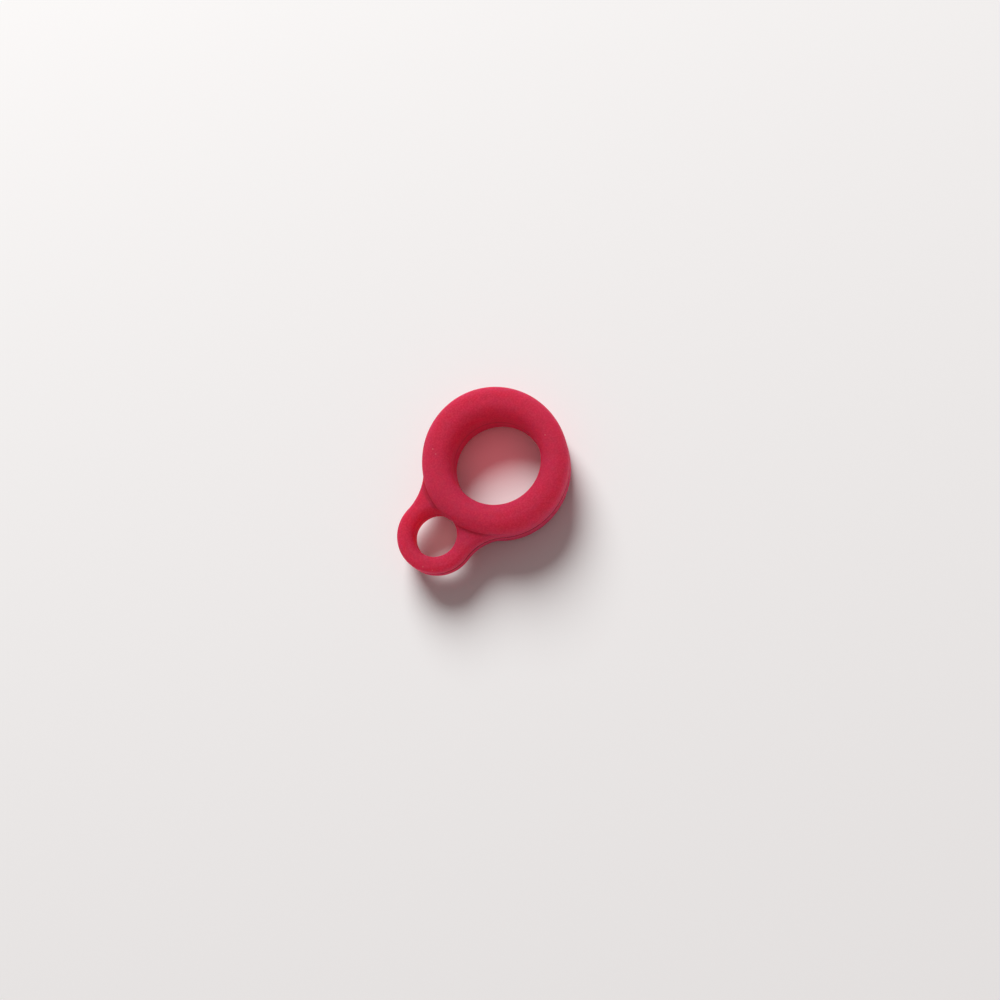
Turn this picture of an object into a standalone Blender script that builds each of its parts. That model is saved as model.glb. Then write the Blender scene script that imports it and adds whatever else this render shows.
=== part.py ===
import math

import bpy

# Driving dimensions, in metres.
BORE_RADIUS = 0.0065
RING_RADIUS = 0.0110
RING_HEIGHT = 0.0075
RING_OUTER_ROUND = 0.0019
RING_BORE_ROUND = 0.00205
EYELET_DISTANCE = 0.01385
EYELET_RADIUS = 0.0055
EYELET_HOLE_RADIUS = 0.00325
EYELET_THICKNESS = 0.0042
EYELET_ROUND = 0.0011
NECK_FILLET = 0.0065
PARTING_DEPTH = 0.00015

# How far the tab's fillets run under the ring's wall, so that the two cross at a definite angle.
TAB_SINK = 0.0001
# How far the parting cutter stands out of the wall.
CUTTER_PROUD = 0.00006
# How much smaller the core pin is than the hole's own wall, so that it cuts only the ring.
PIN_SLACK = 0.00004

# Smoothness of the faceted solid.
RING_STEPS = 96
CORNER_STEPS = 5
ARC_STEP = math.radians(7.5)
CROWN_STEPS = 3

# The ring's axis, so that the world origin is under the middle of the whole outline.
BORE_X = (RING_RADIUS - EYELET_DISTANCE - EYELET_RADIUS) / 2
MID_HEIGHT = RING_HEIGHT / 2
# The circle under the ring's wall that the tab's fillets run to.
ROOT_RADIUS = RING_RADIUS - TAB_SINK


def clear_scene():
    for obj in list(bpy.data.objects):
        bpy.data.objects.remove(obj, do_unlink=True)


def make_collection(name, helpers=False):
    collection = bpy.data.collections.new(name)
    bpy.context.scene.collection.children.link(collection)
    collection.hide_render = helpers
    return collection


def silicone(name):
    material = bpy.data.materials.new(name)
    material.use_nodes = True
    shader = material.node_tree.nodes["Principled BSDF"]
    shader.inputs["Base Color"].default_value = (0.45, 0.012, 0.042, 1)
    shader.inputs["Roughness"].default_value = 0.6
    shader.inputs["Metallic"].default_value = 0
    return material


def arc(centre, radius, start, end, steps):
    """Points from angle start to angle end, both included."""
    angles = [start + (end - start) * i / steps for i in range(steps + 1)]
    return [(centre[0] + radius * math.cos(a), centre[1] + radius * math.sin(a)) for a in angles]


def steps_for(start, end):
    return max(2, math.ceil(abs(end - start) / ARC_STEP))


def ring_section():
    """The ring's section as (radius, height): down the outer side, then up the bore."""
    outer = RING_RADIUS - RING_OUTER_ROUND
    inner = BORE_RADIUS + RING_BORE_ROUND
    top_outer = MID_HEIGHT - RING_OUTER_ROUND
    top_inner = MID_HEIGHT - RING_BORE_ROUND
    right = math.radians(90)
    points = arc((outer, top_outer), RING_OUTER_ROUND, right, 0, CORNER_STEPS)
    points += arc((outer, -top_outer), RING_OUTER_ROUND, 0, -right, CORNER_STEPS)
    points += arc((inner, -top_inner), RING_BORE_ROUND, -right, -2 * right, CORNER_STEPS)
    points += arc((inner, top_inner), RING_BORE_ROUND, 2 * right, right, CORNER_STEPS)
    return points


def make_ring(collection):
    """A section turned once round the bore's axis."""
    section = ring_section()
    mesh = bpy.data.meshes.new("silicone_ring")
    edges = [(i, (i + 1) % len(section)) for i in range(len(section))]
    mesh.from_pydata([(r, 0, z) for r, z in section], edges, [])
    ring = bpy.data.objects.new("silicone_ring", mesh)
    ring.location = (BORE_X, 0, MID_HEIGHT)
    collection.objects.link(ring)
    turn = ring.modifiers.new("turned_section", "SCREW")
    turn.axis = "Z"
    turn.steps = RING_STEPS
    turn.render_steps = RING_STEPS
    turn.use_merge_vertices = True
    turn.merge_threshold = 0.00001
    turn.use_normal_calculate = False
    return ring


def fillet_centre():
    """Centre of the arc that touches both circles from outside, on the +Y side of the tab."""
    to_ring = ROOT_RADIUS + NECK_FILLET
    to_eyelet = EYELET_RADIUS + NECK_FILLET
    x = (to_ring**2 - to_eyelet**2 + EYELET_DISTANCE**2) / (2 * EYELET_DISTANCE)
    return x, math.sqrt(to_ring**2 - x**2)


def neck_angles():
    """Directions to the fillet's centre from the ring's axis and from the eyelet's axis."""
    x, y = fillet_centre()
    return math.atan2(y, x), math.atan2(y, x - EYELET_DISTANCE)


def tab_sides(outset=0):
    """The open outline of the tab from the ring's -Y side, round the eyelet, to its +Y side."""
    at_ring, at_eyelet = neck_angles()
    x, y = fillet_centre()
    half_turn = math.radians(180)
    count = steps_for(at_ring, at_eyelet)
    upper = arc((x, y), NECK_FILLET - outset, at_eyelet - half_turn, at_ring - half_turn, count)
    lower = [(px, -py) for px, py in reversed(upper)]
    count = steps_for(-at_eyelet, at_eyelet)
    eyelet = arc((EYELET_DISTANCE, 0), EYELET_RADIUS + outset, -at_eyelet, at_eyelet, count)
    return lower + eyelet[1:-1] + upper


def add_spline(curve, points):
    spline = curve.splines.new("POLY")
    spline.points.add(len(points) - 1)
    for point, (x, y) in zip(spline.points, points):
        point.co = (x, y, 0, 1)
    spline.use_cyclic_u = True


def hide_helper(obj):
    obj.hide_render = True
    obj.display_type = "WIRE"


def curve_to_mesh(obj, collection):
    """The evaluated curve as a mesh object in the same place, with its caps welded on."""
    graph = bpy.context.evaluated_depsgraph_get()
    mesh = bpy.data.meshes.new_from_object(obj.evaluated_get(graph))
    name = obj.name
    place = obj.matrix_world.copy()
    bpy.data.objects.remove(obj, do_unlink=True)
    made = bpy.data.objects.new(name, mesh)
    made.matrix_world = place
    collection.objects.link(made)
    weld = made.modifiers.new("weld_caps", "WELD")
    weld.merge_threshold = 0.000002
    hide_helper(made)
    return made


def make_tab(collection):
    """The eyelet tab: a flat outline with a round hole, and its edges crowned by the curve's own bevel."""
    curve = bpy.data.curves.new("eyelet_tab", "CURVE")
    curve.dimensions = "2D"
    curve.fill_mode = "BOTH"
    curve.bevel_depth = EYELET_ROUND
    curve.bevel_resolution = CROWN_STEPS
    curve.offset = -EYELET_ROUND
    curve.extrude = EYELET_THICKNESS / 2 - EYELET_ROUND
    inside_wall = (BORE_RADIUS + RING_RADIUS) / 2
    at_ring, _ = neck_angles()
    end = arc((0, 0), inside_wall, at_ring, -at_ring, steps_for(at_ring, -at_ring))
    add_spline(curve, tab_sides() + end)
    full_turn = math.radians(360)
    hole = arc((EYELET_DISTANCE, 0), EYELET_HOLE_RADIUS, 0, full_turn, steps_for(0, full_turn))
    add_spline(curve, hole[:-1])
    tab = bpy.data.objects.new("eyelet_tab", curve)
    tab.location = (BORE_X, 0, MID_HEIGHT)
    collection.objects.link(tab)
    bpy.context.view_layer.update()
    return curve_to_mesh(tab, collection)


def make_core_pin(collection):
    """The pin that forms the eyelet's hole, where it bites into the ring's wall."""
    count = steps_for(0, math.radians(360))
    bpy.ops.mesh.primitive_cylinder_add(
        vertices=count,
        radius=EYELET_HOLE_RADIUS - PIN_SLACK,
        depth=2 * RING_HEIGHT,
        location=(BORE_X + EYELET_DISTANCE, 0, MID_HEIGHT),
    )
    pin = bpy.context.object
    pin.name = "core_pin"
    for owner in list(pin.users_collection):
        owner.objects.unlink(pin)
    collection.objects.link(pin)
    hide_helper(pin)
    return pin


def make_parting_groove(collection):
    """A four-sided bead along the whole outline at mid-height, whose inner corner cuts the parting line."""
    curve = bpy.data.curves.new("parting_groove", "CURVE")
    curve.dimensions = "3D"
    curve.bevel_depth = PARTING_DEPTH + CUTTER_PROUD
    curve.bevel_resolution = 0
    at_ring, _ = neck_angles()
    full_turn = math.radians(360)
    ring_step = full_turn / RING_STEPS
    start = math.ceil(at_ring / ring_step) * ring_step
    count = round((full_turn - 2 * start) / ring_step)
    back = arc((0, 0), RING_RADIUS + CUTTER_PROUD, start, full_turn - start, count)
    add_spline(curve, tab_sides(CUTTER_PROUD) + back)
    groove = bpy.data.objects.new("parting_groove", curve)
    groove.location = (BORE_X, 0, MID_HEIGHT)
    collection.objects.link(groove)
    bpy.context.view_layer.update()
    return curve_to_mesh(groove, collection)


def combine(obj, other, operation):
    step = obj.modifiers.new(other.name, "BOOLEAN")
    step.operation = operation
    step.solver = "EXACT"
    step.object = other


def main():
    clear_scene()
    parts = make_collection("lanyard_ring")
    helpers = make_collection("helpers", helpers=True)
    ring = make_ring(parts)
    combine(ring, make_core_pin(helpers), "DIFFERENCE")
    combine(ring, make_tab(helpers), "UNION")
    combine(ring, make_parting_groove(helpers), "DIFFERENCE")
    ring.data.materials.append(silicone("crimson_silicone"))
    ring.data.shade_smooth()


main()
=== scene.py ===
import math

import bpy
from mathutils import Matrix, Quaternion, Vector


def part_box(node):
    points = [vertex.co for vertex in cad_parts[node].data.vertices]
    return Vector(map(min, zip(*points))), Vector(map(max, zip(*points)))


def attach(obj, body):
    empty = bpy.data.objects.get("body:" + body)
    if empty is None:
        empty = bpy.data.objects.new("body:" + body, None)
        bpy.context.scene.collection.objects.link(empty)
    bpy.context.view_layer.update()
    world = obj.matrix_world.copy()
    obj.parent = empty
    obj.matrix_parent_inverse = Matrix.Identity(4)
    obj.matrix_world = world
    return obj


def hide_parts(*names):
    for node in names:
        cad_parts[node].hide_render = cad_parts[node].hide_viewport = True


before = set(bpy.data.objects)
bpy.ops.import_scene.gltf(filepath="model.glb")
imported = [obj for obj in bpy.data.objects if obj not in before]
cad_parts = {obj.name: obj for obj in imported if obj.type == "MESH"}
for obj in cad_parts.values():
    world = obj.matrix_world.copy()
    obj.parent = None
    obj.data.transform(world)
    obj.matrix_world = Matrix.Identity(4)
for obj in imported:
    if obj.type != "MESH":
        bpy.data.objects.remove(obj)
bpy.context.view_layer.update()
mm = 0.001
scene = bpy.context.scene


def linear(hexColour):  # sRGB hex to the linear colour that a shader takes
    parts = [int(hexColour[i:i + 2], 16) / 255 for i in (1, 3, 5)]
    return [p / 12.92 if p <= 0.04045 else ((p + 0.055) / 1.055) ** 2.4 for p in parts] + [1]


# adds a node; its sources feed its inputs by name or in order, and each is a node, a socket or a value
def addNode(tree, kind, sources=(), **settings):
    node = tree.nodes.new(kind)
    for name, value in settings.items():
        setattr(node, name, value)
    named = sources.items() if isinstance(sources, dict) else enumerate(sources)
    shownInputs = [socket for socket in node.inputs if socket.enabled]
    for key, source in named:
        socket = node.inputs[key] if isinstance(key, str) else shownInputs[key]
        if isinstance(source, bpy.types.Node):
            source = next(output for output in source.outputs if output.enabled)
        if isinstance(source, bpy.types.NodeSocket):
            tree.links.new(source, socket)
        elif source is not None:
            socket.default_value = source
    return node


def newTree(name, inputs, outputs):  # inputs and outputs are {label: kind of socket}
    tree = bpy.data.node_groups.new(name, "GeometryNodeTree")
    for label, kind in inputs.items():
        tree.interface.new_socket(label, in_out="INPUT", socket_type="NodeSocket" + kind)
    for label, kind in outputs.items():
        tree.interface.new_socket(label, in_out="OUTPUT", socket_type="NodeSocket" + kind)
    given = tree.nodes.new("NodeGroupInput").outputs
    result = tree.nodes.new("NodeGroupOutput").inputs
    return tree, given, result


low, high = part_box("silicone_ring")
cadRadius = (high.y - low.y) / 2 / mm
boreAxis = Vector((low.x + cadRadius * mm, 0, (low.z + high.z) / 2))

# in millimetres, round the bore's axis at mid-height
mouldingSizes = {
    "boreRadius": 6.45,
    "ringHeight": (high.z - low.z) / mm,
    "outerRound": 1.9,
    "boreRound": 1.95,
    "eyeletRadius": 5.5,
    "holeRadius": 3.17,
    "eyeletThickness": 4.2,
    "eyeletRound": 0.8,
    "holeRound": 1.1,
    "neckFillet": 7.5,
    "oval": 0.028,  # share out of round; it and the next four only trim the outline
    "ovalTurn": 62.0,  # where the long way points, in degrees from the eyelet
    "eyeletLean": 0.15,  # how far the eyelet is moved to +Y
    "boreShiftX": 0.0,
    "boreShiftY": 0.23,
    "crease": 0.15,  # fillet where the ring's wall rises out of the eyelet's web
    "creaseFade": 1.5,  # it dies out over this length where the two walls run into each other
    "pinEdge": 0.25,  # round of the edge where the hole's pin bites the ring's wall
    "partingDepth": 0.22,
    "partingWidth": 0.36,  # half the width of the rolled-in lips
    "grid": 0.15,  # spacing of the surface points
    "fineBand": 0.45,  # half the height of the band round the parting line that is meshed finer
    "fineness": 3.0,
}
eyeletTrim = 0.2  # the eyelet is this much nearer to the bore than in the CAD model
mouldingSizes["eyeletDistance"] = (high.x - boreAxis.x) / mm - mouldingSizes["eyeletRadius"] - eyeletTrim
ovalAcross = mouldingSizes["oval"] * math.cos(2 * math.radians(90 - mouldingSizes["ovalTurn"]))
mouldingSizes["ringRadius"] = cadRadius * (1 - ovalAcross)  # so that the oval ring is as wide as the CAD ring


def filletCentre(sizes):  # centre of the arc that touches ring and eyelet from outside
    toRing = sizes["ringRadius"] + sizes["neckFillet"]
    toEyelet = sizes["eyeletRadius"] + sizes["neckFillet"]
    distance = sizes["eyeletDistance"]
    x = (toRing ** 2 - toEyelet ** 2 + distance ** 2) / (2 * distance)
    return Vector((x, math.sqrt(toRing ** 2 - x ** 2), 0))


def roundedMeetTree():  # signed distance of the corner where two walls meet in a round edge
    tree, given, result = newTree(
        "roundedMeet", {"wallA": "Float", "wallB": "Float", "round": "Float"}, {"distance": "Float"})
    walls = addNode(tree, "ShaderNodeCombineXYZ", [given["wallA"], given["wallB"]])
    rounds = addNode(tree, "ShaderNodeCombineXYZ", [given["round"], given["round"]])
    past = addNode(tree, "ShaderNodeVectorMath", [walls, rounds], operation="ADD")
    outside = addNode(tree, "ShaderNodeVectorMath", [past, (0, 0, 0)], operation="MAXIMUM")
    corner = addNode(tree, "ShaderNodeVectorMath", [outside], operation="LENGTH")
    nearer = addNode(tree, "ShaderNodeMath", [given["wallA"], given["wallB"]], operation="MAXIMUM")
    inset = addNode(tree, "ShaderNodeMath", [given["round"], -1.0], operation="MULTIPLY")
    inside = addNode(tree, "ShaderNodeMath", [nearer, inset], operation="MINIMUM")
    total = addNode(tree, "ShaderNodeMath", [corner, inside], operation="ADD")
    tree.links.new(total.outputs[0], result["distance"])
    return tree


def partingLipTree():  # how far the outer walls are rolled in at a height: a cusp, deepest at mid-height
    tree, given, result = newTree(
        "partingLip", {"height": "Float", "depth": "Float", "width": "Float"}, {"rolledIn": "Float"})
    share = addNode(tree, "ShaderNodeMath", [given["height"], given["width"]], operation="DIVIDE")
    near = addNode(tree, "ShaderNodeMath", [1.0, share], operation="SUBTRACT", use_clamp=True)
    curve = addNode(tree, "ShaderNodeMath", [near, 2.0], operation="POWER")
    rolled = addNode(tree, "ShaderNodeMath", [curve, given["depth"]], operation="MULTIPLY")
    tree.links.new(rolled.outputs[0], result["rolledIn"])
    return tree


def relaxedOvalTree():  # a point of the slightly oval ring, taken back to where it is on a round one
    inputs = {name: "Float" for name in ("oval", "turn", "lean", "fadeFrom", "fadeTo")}
    tree, given, result = newTree("relaxedOval", {"point": "Vector", **inputs}, {"moulded": "Vector"})
    axes = addNode(tree, "ShaderNodeSeparateXYZ", [given["point"]]).outputs
    bearing = addNode(tree, "ShaderNodeMath", [axes["Y"], axes["X"]], operation="ARCTAN2")
    turn = addNode(tree, "ShaderNodeMath", [given["turn"]], operation="RADIANS")
    fromLongWay = addNode(tree, "ShaderNodeMath", [bearing, turn], operation="SUBTRACT")
    doubled = addNode(tree, "ShaderNodeMath", [fromLongWay, 2.0], operation="MULTIPLY")
    lobes = addNode(tree, "ShaderNodeMath", [doubled], operation="COSINE")
    fade = addNode(tree, "ShaderNodeMapRange", [
        axes["X"], given["fadeFrom"], given["fadeTo"], given["oval"], 0.0], interpolation_type="SMOOTHSTEP")
    stretch = addNode(tree, "ShaderNodeMath", [lobes, fade], operation="MULTIPLY")
    shrink = addNode(tree, "ShaderNodeMath", [1.0, stretch], operation="SUBTRACT")
    flat = addNode(tree, "ShaderNodeCombineXYZ", [shrink, shrink, 1.0])
    rounded = addNode(tree, "ShaderNodeVectorMath", [given["point"], flat], operation="MULTIPLY")
    leaning = addNode(tree, "ShaderNodeMapRange", [
        axes["X"], given["fadeFrom"], given["fadeTo"], 0.0, given["lean"]], interpolation_type="SMOOTHSTEP")
    aside = addNode(tree, "ShaderNodeCombineXYZ", [0.0, leaning])
    back = addNode(tree, "ShaderNodeVectorMath", [rounded, aside], operation="SUBTRACT")
    tree.links.new(back.outputs[0], result["moulded"])
    return tree


tabRoot = 2.0  # the tab ends this far inside the ring's wall, in millimetres
smallestFillet = 0.0001


def mouldingDistanceTree(meet, lip, relaxed):  # signed distance of the whole moulding at a point
    sizes = {name: "Float" for name in mouldingSizes}
    tree, given, result = newTree(
        "mouldingDistance", {"point": "Vector", "filletCentre": "Vector", **sizes}, {"distance": "Float"})
    half = {}
    for name in ("ringHeight", "eyeletThickness"):
        half[name] = addNode(tree, "ShaderNodeMath", [given[name], 0.5], operation="MULTIPLY")
    eyeletStart = addNode(
        tree, "ShaderNodeMath", [given["ringRadius"], given["eyeletRadius"]], operation="SUBTRACT")
    moulded = addNode(tree, "GeometryNodeGroup", node_tree=relaxed, sources=[
        given["point"], given["oval"], given["ovalTurn"], given["eyeletLean"], eyeletStart,
        given["eyeletDistance"]])
    folded = addNode(tree, "ShaderNodeVectorMath", [moulded], operation="ABSOLUTE")
    foldedAxes = addNode(tree, "ShaderNodeSeparateXYZ", [folded]).outputs
    axes = addNode(tree, "ShaderNodeSeparateXYZ", [moulded]).outputs
    # seen from above, with the -Y side folded onto the +Y side
    place = addNode(tree, "ShaderNodeCombineXYZ", [axes["X"], foldedAxes["Y"]])
    height = foldedAxes["Z"]
    rolled = addNode(tree, "GeometryNodeGroup", node_tree=lip, sources={
        "height": height, "depth": given["partingDepth"], "width": given["partingWidth"]})

    radius = addNode(tree, "ShaderNodeVectorMath", [place], operation="LENGTH")
    outer = addNode(tree, "ShaderNodeMath", [radius, given["ringRadius"]], operation="SUBTRACT")
    outerLip = addNode(tree, "ShaderNodeMath", [outer, rolled], operation="ADD")
    boreCentre = addNode(tree, "ShaderNodeCombineXYZ", [given["boreShiftX"], given["boreShiftY"]])
    level = addNode(tree, "ShaderNodeVectorMath", [given["point"], (1, 1, 0)], operation="MULTIPLY")
    boreDistance = addNode(tree, "ShaderNodeVectorMath", [level, boreCentre], operation="DISTANCE")
    bore = addNode(tree, "ShaderNodeMath", [given["boreRadius"], boreDistance], operation="SUBTRACT")
    ringFace = addNode(tree, "ShaderNodeMath", [height, half["ringHeight"]], operation="SUBTRACT")
    outside = addNode(tree, "GeometryNodeGroup", [outerLip, ringFace, given["outerRound"]], node_tree=meet)
    inside = addNode(tree, "GeometryNodeGroup", [bore, ringFace, given["boreRound"]], node_tree=meet)
    ring = addNode(tree, "ShaderNodeMath", [outside, inside], operation="MAXIMUM")

    eyelet = addNode(tree, "ShaderNodeCombineXYZ", [given["eyeletDistance"]])
    fromEyelet = addNode(tree, "ShaderNodeVectorMath", [place, eyelet], operation="SUBTRACT")
    eyeletToFillet = addNode(
        tree, "ShaderNodeVectorMath", [given["filletCentre"], eyelet], operation="SUBTRACT")
    eye = addNode(tree, "ShaderNodeVectorMath", [fromEyelet], operation="LENGTH")
    hole = addNode(tree, "ShaderNodeMath", [given["holeRadius"], eye], operation="SUBTRACT")
    eyeletRim = addNode(tree, "ShaderNodeMath", [eye, given["eyeletRadius"]], operation="SUBTRACT")
    fromFillet = addNode(tree, "ShaderNodeVectorMath", [place, given["filletCentre"]], operation="DISTANCE")
    neck = addNode(tree, "ShaderNodeMath", [given["neckFillet"], fromFillet], operation="SUBTRACT")
    ringSide = addNode(tree, "ShaderNodeVectorMath", [fromEyelet, eyeletToFillet], operation="CROSS_PRODUCT")
    ringSideTurn = addNode(tree, "ShaderNodeSeparateXYZ", [ringSide]).outputs["Z"]
    onNeck = addNode(tree, "ShaderNodeMath", [ringSideTurn, 0.0], operation="LESS_THAN")
    flank = addNode(tree, "ShaderNodeMix", [onNeck, eyeletRim, neck])
    toFillet = addNode(tree, "ShaderNodeVectorMath", [given["filletCentre"]], operation="NORMALIZE")
    pastLine = addNode(tree, "ShaderNodeVectorMath", [toFillet, place], operation="CROSS_PRODUCT")
    past = addNode(tree, "ShaderNodeSeparateXYZ", [pastLine]).outputs["Z"]
    isPast = addNode(tree, "ShaderNodeMath", [past, 0.0], operation="GREATER_THAN")
    plan = addNode(tree, "ShaderNodeMix", [isPast, flank, past])
    planLip = addNode(tree, "ShaderNodeMath", [plan, rolled], operation="ADD")
    eyeletFace = addNode(tree, "ShaderNodeMath", [height, half["eyeletThickness"]], operation="SUBTRACT")
    tabOutside = addNode(
        tree, "GeometryNodeGroup", [planLip, eyeletFace, given["eyeletRound"]], node_tree=meet)
    tabHole = addNode(tree, "GeometryNodeGroup", [hole, eyeletFace, given["holeRound"]], node_tree=meet)
    tabOpen = addNode(tree, "ShaderNodeMath", [tabOutside, tabHole], operation="MAXIMUM")
    root = addNode(tree, "ShaderNodeMath", [bore, tabRoot], operation="ADD")
    tab = addNode(tree, "ShaderNodeMath", [tabOpen, root], operation="MAXIMUM")

    pinned = addNode(tree, "GeometryNodeGroup", [ring, hole, given["pinEdge"]], node_tree=meet)
    tangentShare = addNode(tree, "ShaderNodeVectorMath", [toFillet, given["ringRadius"]], operation="SCALE")
    tangent = addNode(tree, "ShaderNodeSeparateXYZ", [tangentShare]).outputs["X"]
    beyond = addNode(tree, "ShaderNodeMath", [axes["X"], tangent], operation="SUBTRACT")
    fade = addNode(tree, "ShaderNodeMapRange", {
        "Value": beyond, "From Max": given["creaseFade"], "To Max": given["crease"]},
        interpolation_type="SMOOTHSTEP")
    fillet = addNode(tree, "ShaderNodeMath", [fade, smallestFillet], operation="MAXIMUM")
    notRing = addNode(tree, "ShaderNodeMath", [pinned, -1.0], operation="MULTIPLY")
    notTab = addNode(tree, "ShaderNodeMath", [tab, -1.0], operation="MULTIPLY")
    notBoth = addNode(tree, "GeometryNodeGroup", [notRing, notTab, fillet], node_tree=meet)
    whole = addNode(tree, "ShaderNodeMath", [notBoth, -1.0], operation="MULTIPLY")
    tree.links.new(whole.outputs[0], result["distance"])
    return tree


probe = 0.01  # how far apart the distance is read to get its slope, in millimetres
settleRounds = 3


def mouldingTree():  # meshes the surface where the distance is nought, then settles every point on it
    distance = mouldingDistanceTree(roundedMeetTree(), partingLipTree(), relaxedOvalTree())
    sizes = {name: "Float" for name in mouldingSizes}
    tree, given, result = newTree("siliconeMoulding", {
        "filletCentre": "Vector", **sizes, "cornerLow": "Vector", "cornerHigh": "Vector",
        "place": "Vector", "material": "Material"}, {"moulding": "Geometry"})
    shape = {name: given[name] for name in ("filletCentre", *mouldingSizes)}
    position = addNode(tree, "GeometryNodeInputPosition")

    # the band round the parting line is stretched before meshing, so it gets more points
    axes = addNode(tree, "ShaderNodeSeparateXYZ", [position]).outputs
    level = addNode(tree, "ShaderNodeMath", [axes["Z"]], operation="ABSOLUTE")
    side = addNode(tree, "ShaderNodeMath", [axes["Z"]], operation="SIGN")
    stretched = addNode(tree, "ShaderNodeMath", [given["fineBand"], given["fineness"]], operation="MULTIPLY")
    inBand = addNode(tree, "ShaderNodeMath", [level, stretched], operation="MINIMUM")
    shrunk = addNode(tree, "ShaderNodeMath", [inBand, given["fineness"]], operation="DIVIDE")
    overBand = addNode(tree, "ShaderNodeMath", [level, stretched], operation="SUBTRACT")
    clear = addNode(tree, "ShaderNodeMath", [overBand, 0.0], operation="MAXIMUM")
    trueLevel = addNode(tree, "ShaderNodeMath", [shrunk, clear], operation="ADD")
    trueHeight = addNode(tree, "ShaderNodeMath", [trueLevel, side], operation="MULTIPLY")
    unstretched = addNode(tree, "ShaderNodeCombineXYZ", [axes["X"], axes["Y"], trueHeight])

    stretchedDistance = addNode(
        tree, "GeometryNodeGroup", node_tree=distance, sources={"point": unstretched, **shape})
    density = addNode(tree, "ShaderNodeMath", [stretchedDistance, -1.0], operation="MULTIPLY")
    span = addNode(
        tree, "ShaderNodeVectorMath", [given["cornerHigh"], given["cornerLow"]], operation="SUBTRACT")
    gridSteps = addNode(tree, "ShaderNodeCombineXYZ", [given["grid"], given["grid"], given["grid"]])
    counts = addNode(tree, "ShaderNodeVectorMath", [span, gridSteps], operation="DIVIDE")
    count = addNode(tree, "ShaderNodeSeparateXYZ", [counts]).outputs
    volume = addNode(tree, "GeometryNodeVolumeCube", [
        density, -1.0, given["cornerLow"], given["cornerHigh"], count["X"], count["Y"], count["Z"]])
    skin = addNode(tree, "GeometryNodeVolumeToMesh", {"Volume": volume, "Threshold": 0.0, "Adaptivity": 0.0})
    settled = addNode(tree, "GeometryNodeSetPosition", {"Geometry": skin, "Position": unstretched})

    here = addNode(tree, "GeometryNodeGroup", node_tree=distance, sources={"point": position, **shape})
    rises = []
    for axis in range(3):
        step = [probe if i == axis else 0 for i in range(3)]
        beside = addNode(tree, "ShaderNodeVectorMath", [position, step], operation="ADD")
        there = addNode(tree, "GeometryNodeGroup", node_tree=distance, sources={"point": beside, **shape})
        rises.append(addNode(tree, "ShaderNodeMath", [there, here], operation="SUBTRACT"))
    slope = addNode(tree, "ShaderNodeCombineXYZ", rises)
    steepness = addNode(tree, "ShaderNodeVectorMath", [slope, slope], operation="DOT_PRODUCT")
    pull = addNode(tree, "ShaderNodeMath", [here, -probe], operation="MULTIPLY")
    share = addNode(tree, "ShaderNodeMath", [pull, steepness], operation="DIVIDE")
    move = addNode(tree, "ShaderNodeVectorMath", {"Vector": slope, "Scale": share}, operation="SCALE")
    for _ in range(settleRounds):
        settled = addNode(tree, "GeometryNodeSetPosition", {"Geometry": settled, "Offset": move})

    inMetres = addNode(tree, "GeometryNodeTransform", {
        "Geometry": settled, "Translation": given["place"], "Scale": (mm, mm, mm)})
    smooth = addNode(tree, "GeometryNodeSetShadeSmooth", {"Geometry": inMetres})
    real = addNode(tree, "GeometryNodeRealizeInstances", [smooth])
    dressed = addNode(tree, "GeometryNodeSetMaterial", {"Geometry": real, "Material": given["material"]})
    tree.links.new(dressed.outputs[0], result["moulding"])
    return tree


def meshFromTree(name, tree, values):  # runs the tree once and keeps the plain mesh it makes
    holder = bpy.data.objects.new(name + "Holder", bpy.data.meshes.new(name))
    scene.collection.objects.link(holder)
    step = holder.modifiers.new(name, "NODES")
    step.node_group = tree
    for item in tree.interface.items_tree:
        if item.in_out == "INPUT" and item.name in values:
            step[item.identifier] = values[item.name]
    graph = bpy.context.evaluated_depsgraph_get()
    mesh = bpy.data.meshes.new_from_object(holder.evaluated_get(graph))
    bpy.data.objects.remove(holder)
    mesh.name = name
    piece = bpy.data.objects.new(name, mesh)
    scene.collection.objects.link(piece)
    return piece


def makeMoulding(material):
    sizes = mouldingSizes
    margin = 0.6  # empty room round the shape, in millimetres
    tall = sizes["ringHeight"] / 2 + (sizes["fineness"] - 1) * sizes["fineBand"] + margin
    wide = sizes["ringRadius"] + margin
    values = {
        **sizes,
        "filletCentre": filletCentre(sizes),
        "cornerLow": (-wide, -wide, -tall),
        "cornerHigh": (sizes["eyeletDistance"] + sizes["eyeletRadius"] + margin, wide, tall),
        "place": boreAxis,
        "material": material,
    }
    moulding = meshFromTree("silicone_moulding", mouldingTree(), values)
    print("moulding:", len(moulding.data.polygons), "faces")
    return moulding


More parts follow.
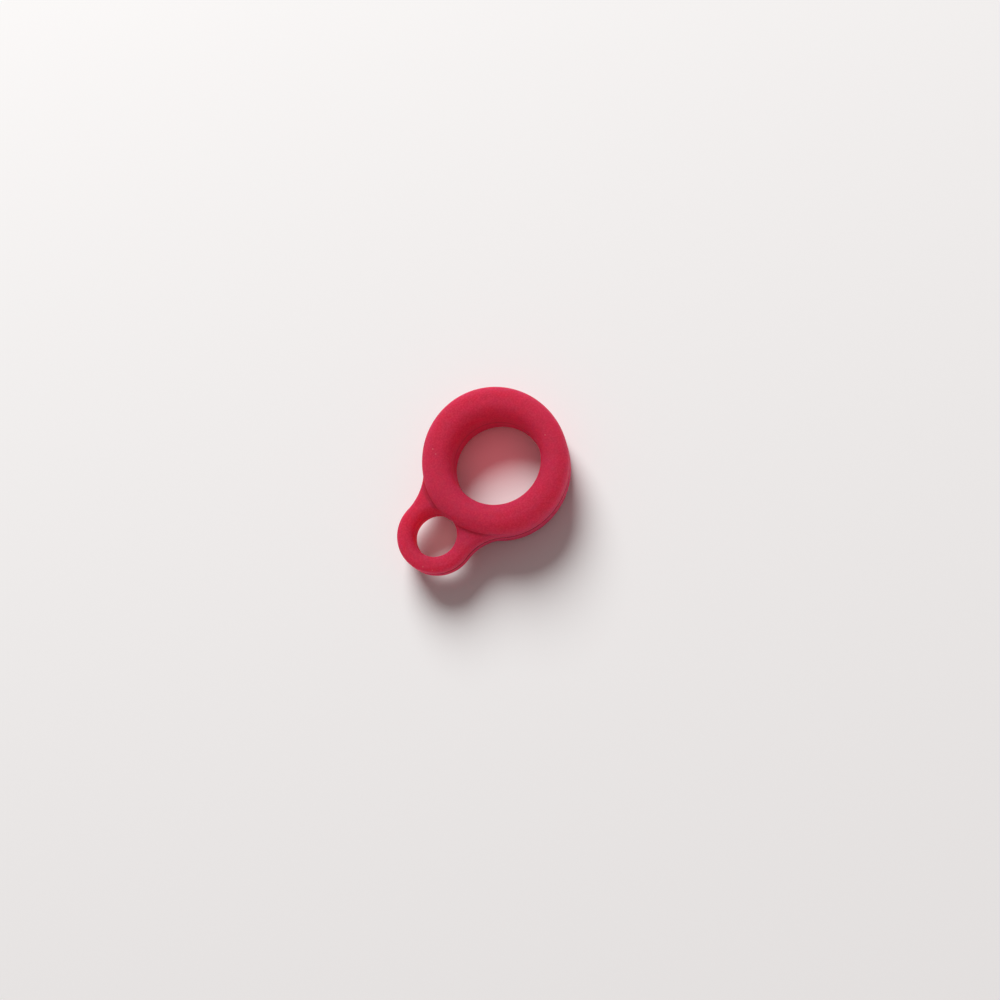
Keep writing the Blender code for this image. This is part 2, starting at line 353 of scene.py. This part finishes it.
siliconeLook = {
    "crimson": "#CE2A55",
    "roughness": 0.8,
    "ior": 1.41,
    "glowMm": 11.0,  # how far red light wanders inside the rubber
    "glowByColour": (1.0, 0.03, 0.05),
    "mottleMm": 1.1,  # size of the patches where the pigment is a little uneven
    "mottle": 0.06,
    "grainMm": 0.24,  # an eroded mould's grain of about 0.05 mm is too fine to show, so it is coarser here
    "grainColour": 0.07,
    "grainDepthMm": 0.012,
    "roughnessSpread": 0.06,
    "grainSheen": 0.05,  # painted sheen: a whitish haze on the tops of the grain
    "dustAndSheen": "#E2A2AE",  # faint pale specks, and the pale of the painted sheen
    "dustMm": 0.15,  # radius of a speck
    "dustCore": 0.4,  # share of that radius at full strength
    "dustSpacingMm": 1.7,
    "dustShare": 0.45,  # of the places where a speck could lie
    "dustStrength": 0.4,
    "seamShade": "#46071B",  # painted shade: darkens the groove of the parting line
    "seamShadeMm": 0.27,  # half its height on the wall
    "seamShadeStrength": 0.9,
    "boreSeamShadeStrength": 0.25,
    "lip": "#E79AA8",  # painted highlight: a paler edge above the line
    "lipHighlightHeightMm": 0.38,
    "lipHighlightMm": 0.25,
    "lipHighlightStrength": 0.2,
    "creaseShadeMm": 0.3,  # painted shade that deepens the line where the ring's wall rises out of the eyelet's web
    "creaseShadeFadeMm": 0.6,  # it comes in over twice this length, where the neck leaves the ring
    # colour of the painted shade in the crease
    "crease": "#7A0E2C",
    "creaseShadeStrength": 0.32,
    "bandCore": 0.3,  # share of a line's half width at full strength
}
noiseRange = (0.25, 0.75)  # nearly all of a noise lies in it


def wallMiddles():  # circles in the middle of both walls, which part the outer sides from the inner
    sizes = mouldingSizes
    eyeletAxis = Vector((boreAxis.x + sizes["eyeletDistance"] * mm, 0, 0))
    return [(Vector((boreAxis.x, 0, 0)), (sizes["ringRadius"] + sizes["boreRadius"]) / 2 * mm),
            (eyeletAxis, (sizes["eyeletRadius"] + sizes["holeRadius"]) / 2 * mm)]


def creaseStart():  # how far ahead of the bore's axis the fillet leaves the ring
    toFillet = filletCentre(mouldingSizes).normalized()
    return toFillet.x * mouldingSizes["ringRadius"] * mm


def bandNear(tree, height, centre, half):  # 1 at this height and 0 at this far from it
    off = addNode(tree, "ShaderNodeMath", [height, centre], operation="SUBTRACT")
    away = addNode(tree, "ShaderNodeMath", [off], operation="ABSOLUTE")
    core = half * siliconeLook["bandCore"]
    return addNode(tree, "ShaderNodeMapRange", [away, half, core, 0.0, 1.0], interpolation_type="SMOOTHSTEP")


# silicone rubber, compression moulded in an eroded mould: dry, matte and faintly grained to the eye,
# and red light glows through it; painted shade darkens the parting line and the crease, with a painted
# highlight above the line and a painted sheen on the grain
def mattedSilicone():
    look = siliconeLook
    material = bpy.data.materials.new("mattedSilicone")
    material.use_nodes = True
    tree = material.node_tree
    shader = tree.nodes["Principled BSDF"]
    place = addNode(tree, "ShaderNodeTexCoord").outputs["Object"]

    mottle, grain = [
        addNode(tree, "ShaderNodeTexNoise", {"Vector": place, "Scale": 1 / (size * mm), "Detail": detail})
        for size, detail in ((look["mottleMm"], 2.0), (look["grainMm"], 1.0))]
    patches = addNode(tree, "ShaderNodeMapRange", [
        mottle, *noiseRange, 1 - look["mottle"], 1 + look["mottle"]])
    grains = addNode(tree, "ShaderNodeMapRange", [
        grain, *noiseRange, 1 - look["grainColour"], 1 + look["grainColour"]])
    shade = addNode(tree, "ShaderNodeMath", [patches, grains], operation="MULTIPLY")
    pigment = addNode(tree, "ShaderNodeHueSaturation", {"Value": shade, "Color": linear(look["crimson"])})

    # painted sheen: the pigment turns toward the pale colour where the grain is high
    grainSheen = addNode(tree, "ShaderNodeMapRange", [grain, 0.4, 0.75, 0.0, look["grainSheen"]])
    grainSheened = addNode(tree, "ShaderNodeMix", [grainSheen, pigment, linear(look["dustAndSheen"])], data_type="RGBA")

    cells = addNode(tree, "ShaderNodeTexVoronoi", {
        "Vector": place, "Scale": 1 / (look["dustSpacingMm"] * mm)})
    edge = look["dustMm"] / look["dustSpacingMm"]
    speck = addNode(tree, "ShaderNodeMapRange", [
        cells.outputs["Distance"], edge, edge * look["dustCore"], 0.0, look["dustStrength"]])
    lot = addNode(tree, "ShaderNodeSeparateColor", [cells.outputs["Color"]])
    chosen = addNode(tree, "ShaderNodeMath", [lot, look["dustShare"]], operation="LESS_THAN")
    dusting = addNode(tree, "ShaderNodeMath", [speck, chosen], operation="MULTIPLY")
    dusted = addNode(tree, "ShaderNodeMix", [dusting, grainSheened, linear(look["dustAndSheen"])], data_type="RGBA")

    middle = boreAxis.z
    height = addNode(tree, "ShaderNodeSeparateXYZ", [place]).outputs["Z"]
    level = addNode(tree, "ShaderNodeVectorMath", [place, (1, 1, 0)], operation="MULTIPLY")
    beyond = []
    for centre, radius in wallMiddles():
        away = addNode(tree, "ShaderNodeVectorMath", [level, centre], operation="DISTANCE")
        beyond.append(addNode(tree, "ShaderNodeMath", [away, radius], operation="GREATER_THAN"))
    outside = addNode(tree, "ShaderNodeMath", beyond, operation="MULTIPLY")
    # painted highlight: a paler band just above the parting line, on the outer walls only
    lip = bandNear(tree, height, middle + look["lipHighlightHeightMm"] * mm, look["lipHighlightMm"] * mm)
    lipHighlightOutside = addNode(tree, "ShaderNodeMath", [lip, outside], operation="MULTIPLY")
    lipHighlightShare = addNode(tree, "ShaderNodeMath", [lipHighlightOutside, look["lipHighlightStrength"]], operation="MULTIPLY")
    lipHighlighted = addNode(tree, "ShaderNodeMix", [lipHighlightShare, dusted, linear(look["lip"])], data_type="RGBA")
    # painted shade along the parting line, weaker inside the bore
    seamShade = bandNear(tree, height, middle, look["seamShadeMm"] * mm)
    seamShadeStrength = addNode(tree, "ShaderNodeMapRange", [
        outside, 0.0, 1.0, look["boreSeamShadeStrength"], look["seamShadeStrength"]])
    seamShadeShare = addNode(tree, "ShaderNodeMath", [seamShade, seamShadeStrength], operation="MULTIPLY")
    seamShaded = addNode(tree, "ShaderNodeMix", [seamShadeShare, lipHighlighted, linear(look["seamShade"])], data_type="RGBA")

    # painted shade in the crease where the ring's wall rises out of the eyelet's web
    boreCentre = Vector((boreAxis.x, 0, 0))
    fromAxis = addNode(tree, "ShaderNodeVectorMath", [level, boreCentre], operation="SUBTRACT")
    reach = addNode(tree, "ShaderNodeVectorMath", [fromAxis], operation="LENGTH")
    nearWall = bandNear(tree, reach, mouldingSizes["ringRadius"] * mm, look["creaseShadeMm"] * 2 * mm)
    offMiddle = addNode(tree, "ShaderNodeMath", [height, middle], operation="SUBTRACT")
    fromMiddle = addNode(tree, "ShaderNodeMath", [offMiddle], operation="ABSOLUTE")
    nearWeb = bandNear(tree, fromMiddle, mouldingSizes["eyeletThickness"] / 2 * mm, look["creaseShadeMm"] * mm)
    ahead = addNode(tree, "ShaderNodeSeparateXYZ", [fromAxis]).outputs["X"]
    fade = look["creaseShadeFadeMm"] * mm
    onWeb = addNode(tree, "ShaderNodeMapRange", [
        ahead, creaseStart() - fade, creaseStart() + fade, 0.0, look["creaseShadeStrength"]])
    inCreaseShade = addNode(tree, "ShaderNodeMath", [nearWall, nearWeb], operation="MULTIPLY")
    creaseShadeShare = addNode(tree, "ShaderNodeMath", [inCreaseShade, onWeb], operation="MULTIPLY")
    creaseShaded = addNode(tree, "ShaderNodeMix", [creaseShadeShare, seamShaded, linear(look["crease"])], data_type="RGBA")

    rough = addNode(tree, "ShaderNodeMapRange", [
        mottle, 0.3, 0.7, look["roughness"] - look["roughnessSpread"],
        look["roughness"] + look["roughnessSpread"]])
    bump = addNode(tree, "ShaderNodeBump", {
        "Height": grain, "Distance": look["grainDepthMm"] * mm, "Strength": 1.0})
    tree.links.new(creaseShaded.outputs["Result"], shader.inputs["Base Color"])
    tree.links.new(rough.outputs[0], shader.inputs["Roughness"])
    tree.links.new(bump.outputs[0], shader.inputs["Normal"])
    shader.inputs["IOR"].default_value = look["ior"]
    shader.inputs["Subsurface Weight"].default_value = 1.0
    shader.inputs["Subsurface Radius"].default_value = look["glowByColour"]
    shader.inputs["Subsurface Scale"].default_value = look["glowMm"] * mm
    return material


moulding = makeMoulding(mattedSilicone())

floorLook = {"paper": "#F4F7F6", "roughness": 0.9, "size": 0.9}


def makeFloor():
    half = floorLook["size"] / 2
    mesh = bpy.data.meshes.new("floor")
    corners = [(-half, -half, 0), (half, -half, 0), (half, half, 0), (-half, half, 0)]
    mesh.from_pydata(corners, [], [(0, 1, 2, 3)])
    floor = bpy.data.objects.new("floor", mesh)
    scene.collection.objects.link(floor)
    material = bpy.data.materials.new("palePaper")  # uncoated paper, pressed smooth: bright and without gloss
    material.use_nodes = True
    shader = material.node_tree.nodes["Principled BSDF"]
    shader.inputs["Base Color"].default_value = linear(floorLook["paper"])
    shader.inputs["Roughness"].default_value = floorLook["roughness"]
    floor.data.materials.append(material)
    print("floor: laid")
    return floor


cameraPlace = {
    "lensMm": 36.47,
    "distanceMm": 145.6,
    "tiltDegrees": 16.32,  # away from straight down
    "aroundDegrees": 71.76,  # side of the object that the camera leans to, from +X
    "rollDegrees": -32.41,
    "aimMm": (3.817, 3.881, 0),  # from the bore's axis at mid-height
    "clipStart": 0.005,
}


def directionTo(tilt, around):
    tilt, around = math.radians(tilt), math.radians(around)
    return Vector((math.sin(tilt) * math.cos(around), math.sin(tilt) * math.sin(around), math.cos(tilt)))


def makeCamera():
    camera = bpy.data.objects.new("camera", bpy.data.cameras.new("camera"))
    scene.collection.objects.link(camera)
    back = directionTo(cameraPlace["tiltDegrees"], cameraPlace["aroundDegrees"])
    aim = boreAxis + Vector(cameraPlace["aimMm"]) * mm
    turn = back.to_track_quat("Z", "Y") @ Quaternion((0, 0, 1), math.radians(cameraPlace["rollDegrees"]))
    camera.matrix_world = Matrix.LocRotScale(aim + back * cameraPlace["distanceMm"] * mm, turn, None)
    camera.data.lens = cameraPlace["lensMm"]
    camera.data.clip_start = cameraPlace["clipStart"]
    scene.camera = camera
    print("camera: in place")


# tilt from overhead, bearing from +X, distance and width in metres, watts, colour, what it lights
lightPlaces = {
    "windowOnFloor": (54, 238, 1.5, 0.95, 28.8, "#FFFFFF", "floor"),
    "windowOnRing": (50, 238, 1.5, 1.2, 11.0, "#FFFFFF", "ring"),
    "ceilingOnRing": (0, 0, 0.6, 3.0, 4.5, "#FFFFFF", "ring"),
}
# stand in for red light that the rubber lets through onto the floor:
# bearing from +X and distance from the bore's axis, width, watts, colour; lengths in millimetres
glowPlaces = {
    "boreGlow": (238, 1.8, 9.0, 0.000068, "#FF1040"),
    "holeGlow": (0, mouldingSizes["eyeletDistance"], 5.0, 0.000025, "#FFA096"),
}


def makeLamp(name, width, watts, colour, receiver):  # a round lamp that lights only one thing
    lamp = bpy.data.objects.new(name, bpy.data.lights.new(name, "AREA"))
    scene.collection.objects.link(lamp)
    lamp.data.shape = "DISK"
    lamp.data.size = width
    lamp.data.energy = watts
    lamp.data.color = linear(colour)[:3]
    lamp.light_linking.receiver_collection = receiver
    return lamp


def makeLights(pieces):  # pieces are {what a lamp can light: its object}
    receivers = {}
    for label, piece in pieces.items():
        receivers[label] = bpy.data.collections.new(label + "Light")
        receivers[label].objects.link(piece)
    for name, (tilt, around, distance, width, watts, colour, label) in lightPlaces.items():
        lamp = makeLamp(name, width, watts, colour, receivers[label])
        toward = directionTo(tilt, around)
        lamp.matrix_world = Matrix.LocRotScale(toward * distance, toward.to_track_quat("Z", "Y"), None)
    for name, (around, off, width, watts, colour) in glowPlaces.items():
        glow = makeLamp(name, width * mm, watts, colour, receivers["floor"])
        glow.location = boreAxis + directionTo(90, around) * off * mm
        glow.visible_camera = False
    print("lamps:", len(lightPlaces) + len(glowPlaces))


skyLook = {"tint": (1.15, 0.9, 0.9, 1), "strength": 0.205, "backdrop": "#F0EFED"}


def makeSky():  # dim rosy light from all round, and a pale backdrop that only the camera sees
    scene.world = bpy.data.worlds.new("studio")
    scene.world.use_nodes = True
    studio = scene.world.node_tree
    sky = studio.nodes["Background"]
    sky.inputs["Color"].default_value = skyLook["tint"]
    sky.inputs["Strength"].default_value = skyLook["strength"]
    backdrop = addNode(studio, "ShaderNodeBackground", [linear(skyLook["backdrop"]), 1.0])
    seen = addNode(studio, "ShaderNodeLightPath").outputs["Is Camera Ray"]
    mixed = addNode(studio, "ShaderNodeMixShader", [seen, sky, backdrop])
    studio.links.new(mixed.outputs[0], studio.nodes["World Output"].inputs["Surface"])
    print("sky: set")


makeCamera()
makeLights({"floor": makeFloor(), "ring": moulding})
makeSky()
scene.view_settings.view_transform = "Standard"

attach(moulding, "root")
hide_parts("silicone_ring")
